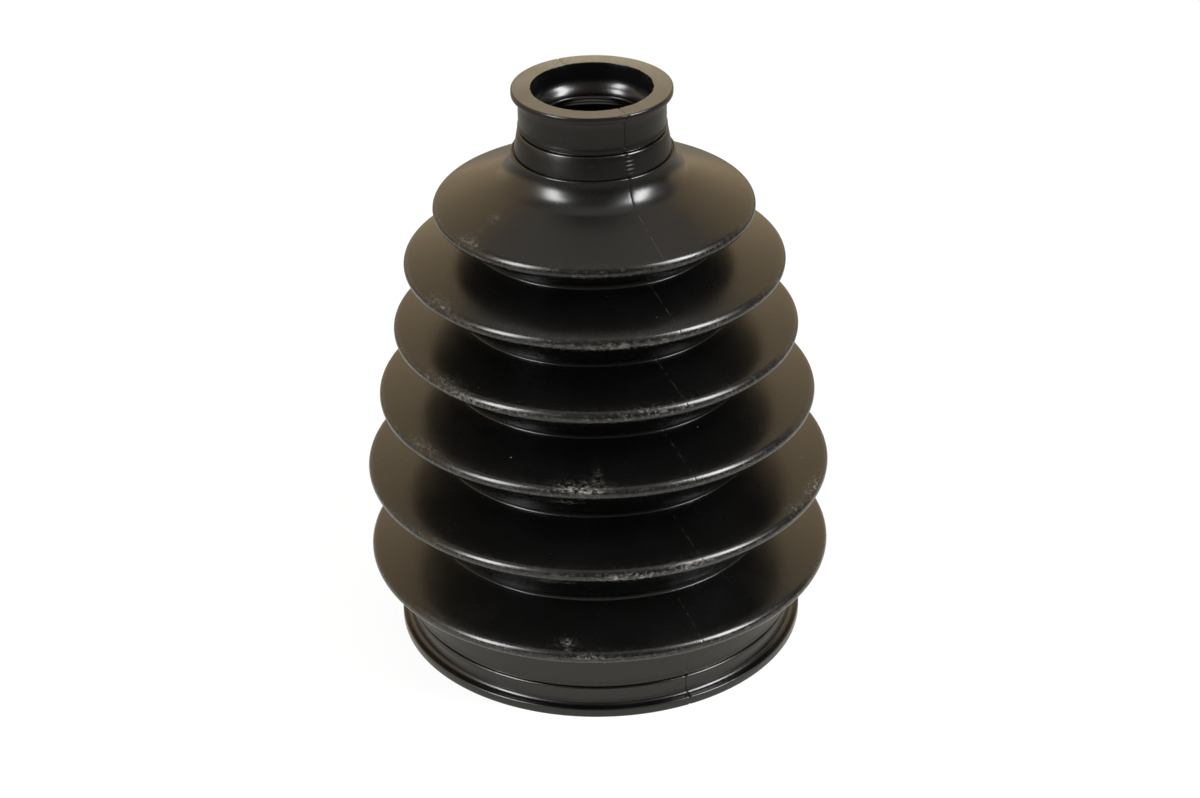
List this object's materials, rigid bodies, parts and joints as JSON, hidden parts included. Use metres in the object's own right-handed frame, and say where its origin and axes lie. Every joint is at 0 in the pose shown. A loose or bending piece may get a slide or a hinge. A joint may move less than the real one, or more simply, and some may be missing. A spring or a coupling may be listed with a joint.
{
  "type": "bellows boot",
  "caption": "Moulded rubber bellows boot that tapers from a wide collar to a narrow one, to cover and seal a drive joint on its shaft.",
  "frame": {"origin": "centre of the large collar's end face, at the base", "axes": "+Z along the boot's axis, from the large collar to the small collar; the form is one of revolution, so X and Y are free and -Y is the front of the stored view"},
  "size_m": [0.0998, 0.0998, 0.1245],
  "materials": {
    "rubber": "semi-gloss moulded black thermoplastic elastomer"
  },
  "bodies": {
    "root": {"bellows_boot": "rubber"}
  },
  "joints": []
}
